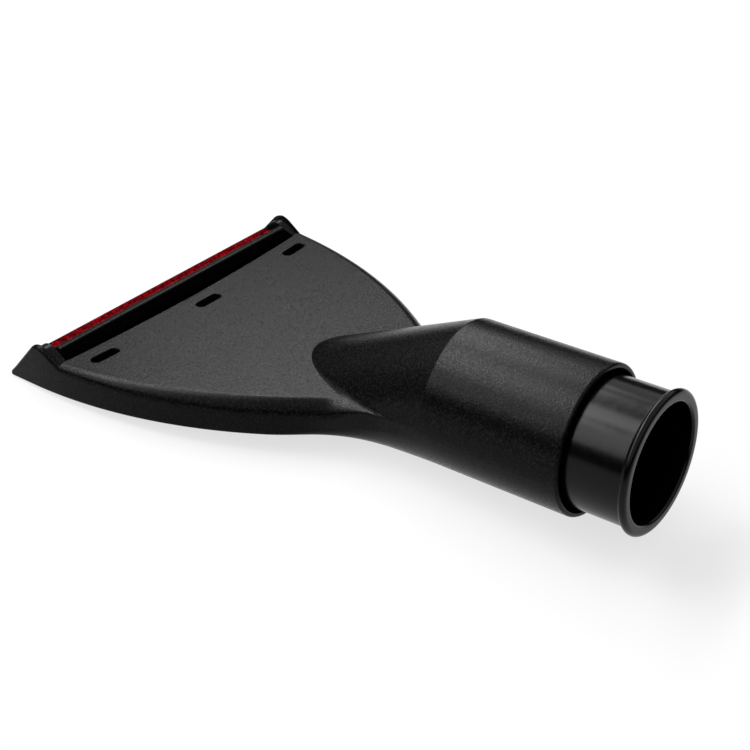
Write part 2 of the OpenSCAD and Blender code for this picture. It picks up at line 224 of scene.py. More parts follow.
class NozzleStageSettings(bpy.types.PropertyGroup):
    """Floor, lamps and camera."""
    camera_place: bpy.props.FloatVectorProperty(
        name="Camera place", description="Where the camera stands", size=3,
        default=(0.301171, 0.123441, 0.235464), subtype="TRANSLATION", unit="LENGTH")
    camera_turn: bpy.props.FloatVectorProperty(
        name="Camera turn", description="The camera's rotation", size=3,
        default=[math.radians(a) for a in (56.27083, -2.09975, 127.60571)],
        subtype="EULER")
    camera_lens: amount("Lens", 70.436, "Focal length in millimetres", 10, 300)
    key_power: amount("Key", 43.0, "Power of the overhead strip light in watts", 0, 500)
    fill_power: amount("Fill", 10.0, "Power of the lamp above the strip light", 0, 500)
    back_power: amount("Back", 6.9, "Power of the lamp behind the head in watts", 0, 500)
    side_power: amount("Side", 15.0, "Power of the lamp beside the sleeve in watts", 0, 500)
    lamp_reach: length("Lamp distance", 2000, "From the nozzle's middle to each lamp")
    sky_level: amount("Sky", 0.30, "Strength of the plain surrounding light")
    flag_height: length("Flag height", 200, "Height of the black card round the nozzle")
    floor_level: amount("Floor glow", 0.70, "What keeps the floor white in the picture")
    floor_tone: amount("Floor tone", 0.23, "Grey of the floor under the lamps")
    floor_near: length("Floor near", 500, "The floor takes light and shadow up to here")
    floor_far: length("Floor far", 1500, "From here on the floor is plain white")


# Mesh tools

def millimetres(*groups):
    """The lengths of property groups in millimetres and their other values as they are."""
    values = {}
    for group in groups:
        for key, prop in group.bl_rna.properties.items():
            if key in ("rna_type", "name"):
                continue
            value = getattr(group, key)
            values[key] = value / MM if getattr(prop, "unit", "") == "LENGTH" else value
    return type("Sizes", (), values)


def place(sizes):
    """From a drawing in millimetres about the sleeve to the resting nozzle in metres."""
    return (Matrix.Rotation(REST_TILT, 4, "X")
            @ Matrix.Translation((0, -neck_y(sizes) * MM, 0)) @ Matrix.Scale(MM, 4))


def neck_y(s):
    """Distance of the head's plane from the socket's mouth."""
    return s.cuff_show + s.sleeve_len


def new_piece(name, bm):
    """A scene object from a bmesh, which is freed."""
    mesh = bpy.data.meshes.new(name)
    bm.to_mesh(mesh)
    bm.free()
    piece = bpy.data.objects.new(name, mesh)
    bpy.context.scene.collection.objects.link(piece)
    return piece


def loft(rings):
    """Skin through rings of equal length, closed at both ends and facing outwards."""
    bm = bmesh.new()
    rows = [[bm.verts.new(p) for p in ring] for ring in rings]
    count = len(rows[0])
    for low, high in zip(rows, rows[1:]):
        for i in range(count):
            j = (i + 1) % count
            bm.faces.new((low[i], low[j], high[j], high[i]))
    bm.faces.new(rows[0])
    bm.faces.new(list(reversed(rows[-1])))
    bmesh.ops.recalc_face_normals(bm, faces=bm.faces)
    return bm


def slab(outline, low, high, axis):
    """Solid with the outline given in the two other axes, from low to high along axis."""
    def point(a, b, c):
        return {"x": (c, a, b), "z": (a, b, c)}[axis]
    bm = bmesh.new()
    near = [bm.verts.new(point(a, b, low)) for a, b in outline]
    far = [bm.verts.new(point(a, b, high)) for a, b in outline]
    for i in range(len(outline)):
        j = (i + 1) % len(outline)
        bm.faces.new((near[i], near[j], far[j], far[i]))
    bm.faces.new(list(reversed(near)))
    bm.faces.new(far)
    bmesh.ops.recalc_face_normals(bm, faces=bm.faces)
    return bm


def evaluated(piece):
    """Turns a piece's modifiers into its plain mesh."""
    graph = bpy.context.evaluated_depsgraph_get()
    graph.update()
    mesh = bpy.data.meshes.new_from_object(piece.evaluated_get(graph))
    piece.modifiers.clear()
    old = piece.data
    piece.data = mesh
    mesh.name = piece.name
    bpy.data.meshes.remove(old)


def carve(piece, *cutters):
    """Takes the cutters out of the piece and removes them."""
    for cutter in cutters:
        cut = piece.modifiers.new(cutter.name, "BOOLEAN")
        cut.operation = "DIFFERENCE"
        cut.solver = "EXACT"
        cut.object = cutter
    evaluated(piece)
    for cutter in cutters:
        bpy.data.objects.remove(cutter, do_unlink=True)
    if len(piece.data.polygons) < 6:
        raise RuntimeError(f"{piece.name} is empty after its cuts")


def weld(piece, more):
    """Joins another closed shape to the piece and removes it."""
    joint = piece.modifiers.new(more.name, "BOOLEAN")
    joint.operation, joint.solver, joint.object = "UNION", "EXACT", more
    evaluated(piece)
    bpy.data.objects.remove(more, do_unlink=True)


def soften(piece, width, wanted, sharp=0.6, rounds=2, merge=0.012):
    """Rounds the sharp convex edges that wanted(middle) accepts."""
    bm = bmesh.new()
    bm.from_mesh(piece.data)
    bmesh.ops.remove_doubles(bm, verts=bm.verts, dist=merge)
    bmesh.ops.dissolve_degenerate(bm, edges=bm.edges, dist=merge / 2)
    edges = [e for e in bm.edges if len(e.link_faces) == 2 and e.is_convex
             and e.calc_face_angle(0) > sharp
             and wanted((e.verts[0].co + e.verts[1].co) / 2)]
    bmesh.ops.bevel(bm, geom=edges, offset=width, offset_type="OFFSET", segments=rounds,
                    profile=0.5, affect="EDGES", clamp_overlap=False, loop_slide=True)
    bm.to_mesh(piece.data)
    bm.free()


def shade(piece, crease=math.radians(38)):
    """Smooth faces with sharp creases, and normals that leave flat faces flat."""
    bm = bmesh.new()
    bm.from_mesh(piece.data)
    for face in bm.faces:
        face.smooth = True
    for edge in bm.edges:
        edge.smooth = len(edge.link_faces) == 2 and edge.calc_face_angle(0) < crease
    bm.to_mesh(piece.data)
    bm.free()
    weigh = piece.modifiers.new("flat faces", "WEIGHTED_NORMAL")
    weigh.keep_sharp = True
    evaluated(piece)


def settle(piece, sizes, material, slot, body, *nodes):
    """Gives a finished piece its place, finish and body, and hides the nodes it stands for;
    slot is not used.
    """
    piece.data.transform(place(sizes))
    piece.data.materials.clear()
    piece.data.materials.append(material)
    for face in piece.data.polygons:
        face.material_index = 0
    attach(piece, body)
    if nodes:
        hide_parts(*nodes)


def node_input(modifier, tree, name, value):
    """Sets a modifier's input by its socket's identifier."""
    for item in tree.interface.items_tree:
        if item.item_type == "SOCKET" and item.in_out == "INPUT" and item.name == name:
            modifier[item.identifier] = value
            return
    raise RuntimeError(f"{tree.name} has no input {name}")


def link(tree, *pairs):
    """Links output to input sockets, two by two."""
    for out, into in zip(pairs[::2], pairs[1::2]):
        tree.links.new(out, into)


# Shape of the head, as in the part's source

class Head:
    """The head's outlines, from the sizes in millimetres and the angles in radians."""

    def __init__(self, s):
        self.s = s
        self.sleeve_r = s.sleeve_d / 2
        self.mouth_x = s.mouth_w / 2
        self.plan_turn = math.acos(
            1 - (self.mouth_x - self.sleeve_r) / (s.shoulder_r + s.neck_r))
        self.neck_end = -s.neck_run
        self.plan_mid = self.neck_end - s.neck_r * math.sin(self.plan_turn)
        self.shoulder_end = self.plan_mid - s.shoulder_r * math.sin(self.plan_turn)
        self.tip_y = -s.head_len
        self.tip_z = self.base_z(self.tip_y) + s.tip_h
        self.lobe_z = self.top_z(self.tip_y) + s.lobe_h - s.lobe_r
        self.lobe_y = self.tip_y + (
            s.lobe_r + (self.lobe_z - self.tip_z) * math.cos(s.front_angle)
        ) / math.sin(s.front_angle)
        back = self.lobe_back(0)
        self.lobe_end = back + (self.lobe_top(back) - self.top_z(back)) / (
            math.tan(s.lobe_fall) - math.tan(s.head_pitch))
        self.cheek_x = self.mouth_x - s.rim_w - s.ledge_w
        self.ledge_x = self.mouth_x - s.rim_w
        self.nose_y = -(self.sleeve_r + s.head_drop) / (
            math.tan(s.ramp_fall) + math.tan(s.head_pitch))

    def half_w(self, y):
        """Half the head's width at y: straight, shoulder curve, neck curve, sleeve."""
        s = self.s
        if y >= self.neck_end:
            return self.sleeve_r
        if y >= self.plan_mid:
            return self.sleeve_r + s.neck_r - math.sqrt(
                s.neck_r ** 2 - (self.neck_end - y) ** 2)
        if y >= self.shoulder_end:
            return self.mouth_x - s.shoulder_r + math.sqrt(
                s.shoulder_r ** 2 - (y - self.shoulder_end) ** 2)
        return self.mouth_x

    def top_z(self, y):
        return -self.s.head_drop - y * math.tan(self.s.head_pitch)

    def base_z(self, y):
        return self.top_z(y) - self.s.head_h

    def lobe_front(self, inset):
        return self.lobe_y - (self.s.lobe_r - inset) * math.sin(self.s.front_angle)

    def lobe_back(self, inset):
        return self.lobe_y + (self.s.lobe_r - inset) * math.sin(self.s.lobe_fall)

    def lobe_top(self, y, inset=0.0):
        """Height of the cheeks' outline at y, moved inwards by inset."""
        s, r = self.s, self.s.lobe_r - inset
        if y < self.lobe_front(inset):
            return self.lobe_z + r * math.cos(s.front_angle) - (
                self.lobe_front(inset) - y) * math.tan(s.front_angle)
        if y < self.lobe_back(inset):
            return self.lobe_z + math.sqrt(max(0.0, r ** 2 - (y - self.lobe_y) ** 2))
        return self.lobe_z + r * math.cos(s.lobe_fall) - (
            y - self.lobe_back(inset)) * math.tan(s.lobe_fall)

    def front_y(self, z, inset):
        """Where the front face moved inwards by inset reaches height z."""
        y = self.lobe_front(inset)
        return y - (self.lobe_top(y, inset) - z) / math.tan(self.s.front_angle)

    def skin_z(self, y):
        lobe = self.lobe_top(y)
        return lobe if y < self.lobe_y else max(self.top_z(y), lobe)

    def ramp_z(self, y):
        """Height of the ramp's centre: a straight fall with a small round at the sleeve."""
        turn = 2 * self.s.ramp_break
        fall = math.tan(self.s.ramp_fall) * self.nose_y / (self.nose_y + turn / 2)
        if y > -turn:
            return -fall * min(y, 0.0) ** 2 / (2 * turn)
        return (y + turn / 2) * fall

    def edge_at(self, y):
        grown = (y - self.lobe_y) / (0.65 * self.nose_y - self.lobe_y)
        return self.s.edge_r + self.s.edge_grow * math.sqrt(min(max(grown, 0.0), 1.0))

    def fillet_at(self, y, t):
        """Radius of the ramp's fillet: it grows from the nose and leaves the top edge its
        room, which closes at the crease's end."""
        s, r = self.s, self.sleeve_r - t
        d = self.top_z(y) - self.ramp_z(y) - t
        room = max(0.5, (-s.crease_end - y) * math.tan(s.crease_spread))
        x = self.half_w(y) - t - room
        return max(0.3, soft_least(s.ramp_fillet * 1.6 * (1 - y / self.nose_y) + t,
                                   (x * x - r * r + d * d) / (2 * max(r - d, 0.01)), 0.8))

    # Points on a half ring: over the ramp, its fillet, the top edge and the underside
    ARC, FILLET, CORNER, BELLY = 24, 6, 12, 22
    SIDE = FILLET + CORNER + 1
    UNDER = math.radians(179)

    def angles(self, t):
        """Angles of the half ring's points on the sleeve's circle."""
        r, f = self.sleeve_r - t, 0.3
        z = self.top_z(0) - t + f
        a1 = math.atan2(math.sqrt((r + f) ** 2 - z ** 2), z)
        a2 = math.radians(94) + math.asin((self.s.head_drop + t) / r)
        over = [a1 * i / self.ARC for i in range(self.ARC + 1)]
        side = [a1 + (a2 - a1) * i / self.SIDE for i in range(1, self.SIDE + 1)]
        low = [a2 + (self.UNDER - a2) * i / self.BELLY for i in range(1, self.BELLY + 1)]
        return over + side + low

    def half_ring(self, y, t):
        """Section of the skin moved inwards by t, from the middle of the top to that of
        the underside. Towards the sleeve its points move over onto the sleeve's circle."""
        s = self.s
        zt, zb, r = self.skin_z(y) - t, self.base_z(y) + t, self.sleeve_r - t
        on_ramp, zc, f = y > self.nose_y, self.ramp_z(y), self.fillet_at(y, t)
        xf = math.sqrt(max(0.0, (r + f) ** 2 - (zt + f - zc) ** 2)) if on_ramp else 6.0
        a1 = math.atan2(xf, zt + f - zc) if on_ramp else 0.0
        w = max(self.half_w(y) - t, xf + 0.3)
        rt = max(min(soft_least(self.edge_at(y) - t, w - xf - 0.1, 1.6),
                     (zt - zb) / 2 - 0.1), 0.2)
        rb = min(max(s.base_r - t, 0.6), (zt - zb) / 2 - 0.1)
        circle = [(r * math.sin(a), r * math.cos(a)) for a in self.angles(t)]
        top_share, low_share = ease(1 + (y + 8) / 16), ease(1 + y / s.belly_len)
        points = []
        for i in range(self.ARC + 1):
            a = a1 * i / self.ARC
            points.append((r * math.sin(a), zc + r * math.cos(a)) if on_ramp
                          else (5.0 * i / self.ARC, zt))
        for i in range(1, self.SIDE + 1):
            if i > self.FILLET:
                c = math.pi / 2 * (1 - (i - self.FILLET - 1) / self.CORNER)
                p = (w - rt + rt * math.cos(c), zt - rt + rt * math.sin(c))
            elif on_ramp:
                a = a1 * (1 - i / self.FILLET)
                p = (xf - f * math.sin(a), zt + f - f * math.cos(a))
            else:
                p = (5.0 + i / self.FILLET, zt)
            points.append(blend(p, circle[self.ARC + i], top_share))
        for i in range(1, self.BELLY + 1):
            a = math.pi / 2 * i / self.BELLY
            p = (w - rb + rb * math.cos(a), zb + rb - rb * math.sin(a))
            points.append(blend(p, circle[self.ARC + self.SIDE + i], low_share))
        table = t - self.sleeve_r - y * math.tan(REST_TILT)
        return [(x, max(z, table)) for x, z in points]

    def ring(self, y, t):
        return whole_ring(self.half_ring(y, t), y)

    def round_ring(self, y, r):
        return whole_ring([(r * math.sin(a), r * math.cos(a)) for a in self.angles(0)], y)


def soft_least(a, b, width):
    """The lesser of two, rounded where they meet."""
    u = min(max(0.5 + 0.5 * (b - a) / width, 0.0), 1.0)
    return b + (a - b) * u - width * u * (1 - u)


def ease(u):
    """Smooth step from 0 to 1."""
    u = min(max(u, 0.0), 1.0)
    return u * u * (3 - 2 * u)


def blend(p, q, share):
    return tuple(a + (b - a) * share for a, b in zip(p, q))


def whole_ring(half, y):
    """A half ring with its mirror image."""
    return [(x, y, z) for x, z in half] + [(-x, y, z) for x, z in reversed(half[1:])]


def steps(low, high, count):
    """count values from low on, high left out."""
    return [low + (high - low) * i / count for i in range(count)]


def quarter(centre_r, centre_y, radius, start, stop, count):
    """Points (radius, y) on an arc of a turned profile, angles in degrees."""
    return [(centre_r + radius * math.cos(math.radians(a)),
             centre_y + radius * math.sin(math.radians(a)))
            for a in steps(start, stop, count) + [stop]]


def body_skin(head):
    """Outside, open end, bearing, air way and hollow of the body as one closed skin."""
    s = head.s
    outer = (steps(head.tip_y, head.lobe_front(0), 7)
             + steps(head.lobe_front(0), head.lobe_back(0), 18)
             + steps(head.lobe_back(0), head.lobe_end, 5) + [head.lobe_end])
    slot_y = head.tip_y + s.lip_in + s.slot_gap
    fan = steps(slot_y + 1.4, head.nose_y, 44)
    ramp = [head.nose_y * (1 - (i / 46) ** 1.5) for i in range(46)]
    near = steps(-2 * s.ramp_break, 0, 5)
    ramp = [y for y in ramp if y < near[0] - 0.1] + near
    rings = [head.ring(y, 0) for y in outer + fan + ramp]
    long, edge = s.sleeve_len, s.sleeve_edge
    cuff_r = s.socket_d / 2 + s.cuff_wall
    cuff_len = s.socket_depth + s.stop_t + s.slit_len + 1.4
    seat = neck_y(s) - cuff_len - s.play
    groove, recess = seat + s.rib_w + 2 * s.play, cuff_r + s.recess_gap
    air_r, soft = head.sleeve_r - s.wall, 0.2
    profile = [(head.sleeve_r, y) for y in steps(0, long - edge, 8)]
    profile += quarter(head.sleeve_r - edge, long - edge, edge, 0, 90, 8)
    profile += quarter(recess + soft, long - soft, soft, 90, 180, 4)
    profile += [(recess, y) for y in steps(long - soft - 1, long - s.recess_depth, 4)]
    profile += [(recess, long - s.recess_depth), (cuff_r + s.run_gap, long - s.recess_depth),
                (cuff_r + s.run_gap, groove), (cuff_r + s.rib_h + 0.15, groove),
                (cuff_r + s.rib_h + 0.15, seat), (s.socket_d / 2, seat),
                (s.socket_d / 2, seat - s.wall), (air_r, seat - s.wall), (air_r, 0.5)]
    rings += [head.round_ring(y, r) for r, y in profile]
    inner = [0] + [y for y in reversed(ramp[::2]) if y < -0.5]
    inner += [y for y in reversed(fan[::2]) if y > slot_y] + [slot_y - 2 * s.wall]
    rings += [head.ring(y, s.wall) for y in inner]
    return new_piece("body_shell", loft(rings))


def mouth_cutter(head):
    """Opening between the cheeks, in front of the bowed edge of the head's top."""
    s = head.s
    slot_y = head.tip_y + s.lip_in + s.slot_gap
    bow = [(x, slot_y - s.bow_r + math.sqrt(s.bow_r ** 2 - x * x))
           for x in steps(-head.cheek_x, head.cheek_x, 60) + [head.cheek_x]]
    outline = [(-head.cheek_x, head.tip_y - 1)] + bow + [(head.cheek_x, head.tip_y - 1)]
    bm = slab(outline, 0, 30, "z")
    for v in bm.verts:
        if v.co.z < 1:
            v.co.z = head.base_z(v.co.y) + s.floor_t
    return new_piece("mouth cutter", bm)


def ledge_cutters(head):
    """Step inside each rim, along the lobes' outline."""
    s, d = head.s, head.s.ledge_step
    slot_y = head.tip_y + s.lip_in + s.slot_gap
    front, back = head.lobe_front(d), head.lobe_back(d)
    middle = (head.cheek_x + head.ledge_x) / 2
    end = slot_y - s.bow_r + math.sqrt(s.bow_r ** 2 - middle ** 2)
    ys = [head.tip_y - 1, *steps(front, back, 18), back, end]
    outline = [(y, head.lobe_top(y, d)) for y in ys] + [(end, 20), (head.tip_y - 1, 20)]
    return [new_piece(f"ledge cutter {side}", slab(outline, *sorted(
        (side * (head.cheek_x - 1), side * head.ledge_x)), "x")) for side in (-1, 1)]


def tenon_cutters(head, grow):
    """The bar's tenons, or their pockets in the cheeks when grown."""
    s = head.s
    lip_top = head.top_z(head.tip_y + s.lip_in) + s.lip_rise
    z = lip_top - s.lip_h + s.bar_wall / 2 + 0.2
    half = (s.tenon_w / 2 + grow, s.bar_wall / 2 + grow)
    outline = [(head.lobe_y + a * half[0], z + b * half[1])
               for a, b in ((-1, -1), (1, -1), (1, 1), (-1, 1))]
    inner, outer = head.cheek_x - s.bar_gap - grow - 0.1, head.cheek_x + s.tenon_l + grow
    return [new_piece(f"tenon {side}", slab(outline, *sorted((side * inner, side * outer)),
                                            "x")) for side in (-1, 1)]


def vent_cutters(head):
    """One vent with a softened edge, repeated along the slot's bow by Geometry Nodes."""
    s = head.s
    slot_y = head.tip_y + s.lip_in + s.slot_gap
    top = head.top_z(slot_y + s.vent_back)
    r, run, soft = s.vent_w / 2, (s.vent_l - s.vent_w) / 2, s.edge_soft

    def oval(grow, z):
        return [(math.copysign(run, math.cos(a)) + (r + grow) * math.cos(a),
                 (r + grow) * math.sin(a), z)
                for a in [math.tau * (i + 0.5) / 48 for i in range(48)]]
    rings = [oval(0, top - 2 * s.wall)]
    rings += [oval(soft * (1 - math.cos(math.radians(a))),
                   top - soft * (1 - math.sin(math.radians(a)))) for a in (0, 22, 45, 68, 90)]
    rings += [oval(soft + 0.05, top + 3)]
    bm = loft(rings)
    pitch = Matrix.Rotation(-s.head_pitch, 4, "X")
    bmesh.ops.transform(bm, matrix=Matrix.Translation((0, 0, top)) @ pitch
                        @ Matrix.Translation((0, 0, -top)), verts=bm.verts)
    vent = new_piece("vent cutter", bm)
    tree = repeat_on_bow_tree()
    row = vent.modifiers.new("row of vents", "NODES")
    row.node_group = tree
    node_input(row, tree, "Count", s.vent_count)
    node_input(row, tree, "Bow Radius", s.bow_r)
    node_input(row, tree, "Setback", s.vent_back)
    node_input(row, tree, "Pitch", s.vent_pitch)
    node_input(row, tree, "Slot Y", slot_y)
    evaluated(vent)
    return vent


def tree_with(name, kind, inputs, outputs):
    """A node tree with its group input and output nodes and its named sockets."""
    tree = bpy.data.node_groups.new(name, kind)
    for label, socket, value in inputs:
        item = tree.interface.new_socket(label, in_out="INPUT", socket_type=socket)
        if value is not None:
            item.default_value = value
    for label, socket in outputs:
        tree.interface.new_socket(label, in_out="OUTPUT", socket_type=socket)
    return tree, tree.nodes.new("NodeGroupInput"), tree.nodes.new("NodeGroupOutput")


def maths(tree, operation, a, b=None, c=None):
    """A Math node; a, b and c are sockets or numbers."""
    node = tree.nodes.new("ShaderNodeMath")
    node.operation = operation
    for socket, value in zip(node.inputs, (a, b, c)):
        if isinstance(value, bpy.types.NodeSocket):
            tree.links.new(value, socket)
        elif value is not None:
            socket.default_value = value
    return node.outputs[0]


def repeat_on_bow_tree():
    """Geometry Nodes: the mesh repeated on an arc about a far centre, as the vents are."""
    tree, given, made = tree_with(
        "repeat on bow", "GeometryNodeTree",
        [("Geometry", "NodeSocketGeometry", None), ("Count", "NodeSocketInt", 3),
         ("Bow Radius", "NodeSocketFloat", 700.0), ("Setback", "NodeSocketFloat", 6.6),
         ("Pitch", "NodeSocketFloat", 44.6), ("Slot Y", "NodeSocketFloat", -109.4),
         ("Material", "NodeSocketMaterial", None)],
        [("Geometry", "NodeSocketGeometry")])
    index = tree.nodes.new("GeometryNodeInputIndex").outputs[0]
    middle = maths(tree, "DIVIDE", maths(tree, "SUBTRACT", given.outputs["Count"], 1.0), 2.0)
    turn = maths(tree, "DIVIDE", maths(tree, "MULTIPLY", maths(
        tree, "SUBTRACT", index, middle), given.outputs["Pitch"]), given.outputs["Bow Radius"])
    reach = maths(tree, "ADD", given.outputs["Bow Radius"], given.outputs["Setback"])
    spot = tree.nodes.new("ShaderNodeCombineXYZ")
    along = maths(tree, "SUBTRACT", maths(
        tree, "MULTIPLY", maths(tree, "COSINE", turn), reach), given.outputs["Bow Radius"])
    link(tree, maths(tree, "MULTIPLY", maths(tree, "SINE", turn), reach), spot.inputs["X"],
         maths(tree, "ADD", along, given.outputs["Slot Y"]), spot.inputs["Y"])
    spots = tree.nodes.new("GeometryNodePoints")
    way = tree.nodes.new("ShaderNodeCombineXYZ")
    set_on = tree.nodes.new("GeometryNodeInstanceOnPoints")
    real = tree.nodes.new("GeometryNodeRealizeInstances")
    finish = tree.nodes.new("GeometryNodeSetMaterial")
    link(tree, given.outputs["Count"], spots.inputs["Count"],
         spot.outputs[0], spots.inputs["Position"],
         maths(tree, "MULTIPLY", turn, -1.0), way.inputs["Z"],
         spots.outputs[0], set_on.inputs["Points"],
         given.outputs["Geometry"], set_on.inputs["Instance"],
         way.outputs[0], set_on.inputs["Rotation"],
         set_on.outputs[0], real.inputs[0], real.outputs[0], finish.inputs[0],
         given.outputs["Material"], finish.inputs["Material"],
         finish.outputs[0], made.inputs[0])
    return tree


def turned_tree():
    """Geometry Nodes: a closed profile, drawn as (radius - hub, -height), turned about z."""
    tree, given, made = tree_with(
        "turned", "GeometryNodeTree",
        [("Geometry", "NodeSocketGeometry", None), ("Steps", "NodeSocketInt", 192),
         ("Hub", "NodeSocketFloat", 1.0), ("Material", "NodeSocketMaterial", None)],
        [("Geometry", "NodeSocketGeometry")])
    circle = tree.nodes.new("GeometryNodeCurvePrimitiveCircle")
    profile = tree.nodes.new("GeometryNodeMeshToCurve")
    sweep = tree.nodes.new("GeometryNodeCurveToMesh")
    real = tree.nodes.new("GeometryNodeRealizeInstances")
    finish = tree.nodes.new("GeometryNodeSetMaterial")
    link(tree, given.outputs["Steps"], circle.inputs["Resolution"],
         given.outputs["Hub"], circle.inputs["Radius"],
         given.outputs["Geometry"], profile.inputs[0],
         circle.outputs[0], sweep.inputs["Curve"],
         profile.outputs[0], sweep.inputs["Profile Curve"],
         sweep.outputs[0], real.inputs[0], real.outputs[0], finish.inputs[0],
         given.outputs["Material"], finish.inputs["Material"],
         finish.outputs[0], made.inputs[0])
    return tree


def turned(name, profile, count):
    """A ring about the sleeve's axis from a closed profile of (radius, y)."""
    hub = 1.0
    bm = bmesh.new()
    verts = [bm.verts.new((r - hub, -y, 0)) for r, y in profile]
    for a, b in zip(verts, verts[1:] + verts[:1]):
        bm.edges.new((a, b))
    piece = new_piece(name, bm)
    tree = turned_tree()
    sweep = piece.modifiers.new("turned", "NODES")
    sweep.node_group = tree
    node_input(sweep, tree, "Steps", count)
    node_input(sweep, tree, "Hub", hub)
    evaluated(piece)
    bm = bmesh.new()
    bm.from_mesh(piece.data)
    bmesh.ops.transform(bm, matrix=Matrix.Rotation(-math.pi / 2, 4, "X"), verts=bm.verts)
    bmesh.ops.recalc_face_normals(bm, faces=bm.faces)
    reach = max(math.hypot(v.co.x, v.co.z) for v in bm.verts)
    if abs(reach - max(r for r, _ in profile)) > 0.01:
        raise RuntimeError(f"{name} was turned to {reach} mm")
    bm.to_mesh(piece.data)
    bm.free()
    return piece


# Finishes

def spark_grain_group():
    """Shader group: the fine grain of a spark-eroded mould, as height and as speckle."""
    name = "spark grain"
    if name in bpy.data.node_groups:
        return bpy.data.node_groups[name]
    tree, given, made = tree_with(
        name, "ShaderNodeTree",
        [("Scale", "NodeSocketFloat", 3000.0), ("Speckle", "NodeSocketFloat", 0.3),
         ("Cloud", "NodeSocketFloat", 60.0), ("Roughness", "NodeSocketFloat", 0.4),
         ("Grit", "NodeSocketFloat", 0.8), ("Drift", "NodeSocketFloat", 0.05)],
        [("Height", "NodeSocketFloat"), ("Tone", "NodeSocketFloat"),
         ("Roughness", "NodeSocketFloat")])
    where = tree.nodes.new("ShaderNodeTexCoord")
    fine = tree.nodes.new("ShaderNodeTexNoise")
    fine.inputs["Detail"].default_value = 2.0
    fine.inputs["Roughness"].default_value = 0.6
    cloud = tree.nodes.new("ShaderNodeTexNoise")
    cloud.inputs["Detail"].default_value = 3.0
    link(tree, where.outputs["Object"], fine.inputs["Vector"],
         given.outputs["Scale"], fine.inputs["Scale"],
         where.outputs["Object"], cloud.inputs["Vector"],
         given.outputs["Cloud"], cloud.inputs["Scale"],
         fine.outputs[0], made.inputs["Height"])
    fleck = maths(tree, "SUBTRACT", fine.outputs[0], 0.5)
    tone = maths(tree, "MAXIMUM", maths(
        tree, "MULTIPLY_ADD", fleck, given.outputs["Speckle"], 1.0), 0.05)
    link(tree, tone, made.inputs["Tone"])
    drift = maths(tree, "SUBTRACT", cloud.outputs[0], 0.5)
    level = maths(tree, "MULTIPLY_ADD", drift, given.outputs["Drift"],
                  given.outputs["Roughness"])
    link(tree, maths(tree, "MULTIPLY_ADD", fleck, given.outputs["Grit"], level),
         made.inputs["Roughness"])
    return tree


def plastic(name, tint_value, rough, gloss, grain, depth, speckle, grit):
    """Moulded plastic with the spark grain in its height, tone and roughness."""
    if name in bpy.data.materials:
        return bpy.data.materials[name]
    material = bpy.data.materials.new(name)
    material.use_nodes = True
    tree = material.node_tree
    shader = tree.nodes["Principled BSDF"]
    shader.inputs["Specular IOR Level"].default_value = gloss
    shader.inputs["IOR"].default_value = 1.5
    grains = tree.nodes.new("ShaderNodeGroup")
    grains.node_tree = spark_grain_group()
    grains.inputs["Scale"].default_value = 1 / grain
    grains.inputs["Speckle"].default_value = speckle
    grains.inputs["Roughness"].default_value = rough
    grains.inputs["Grit"].default_value = grit
    colour = tree.nodes.new("ShaderNodeMix")
    colour.data_type = "RGBA"
    colour.blend_type = "MULTIPLY"
    colour.inputs["Factor"].default_value = 1.0
    colour.inputs["A"].default_value = (*tint_value, 1)
    bump = tree.nodes.new("ShaderNodeBump")
    bump.inputs["Distance"].default_value = depth
    bump.inputs["Strength"].default_value = 1.0
    link(tree, grains.outputs["Tone"], colour.inputs["B"],
         colour.outputs["Result"], shader.inputs["Base Color"],
         grains.outputs["Roughness"], shader.inputs["Roughness"],
         grains.outputs["Height"], bump.inputs["Height"],
         bump.outputs[0], shader.inputs["Normal"])
    return material


def satin_black(f):
    return plastic("satin_plastic", f.satin_tint, f.satin_rough, f.satin_gloss, f.grain,
                   f.grain_depth, 18.0, -0.6)


def gloss_black(f):
    return plastic("gloss_plastic", f.gloss_tint, f.gloss_rough, f.gloss_gloss, f.grain * 4,
                   f.grain_depth / 6, 0.4, 0.10)


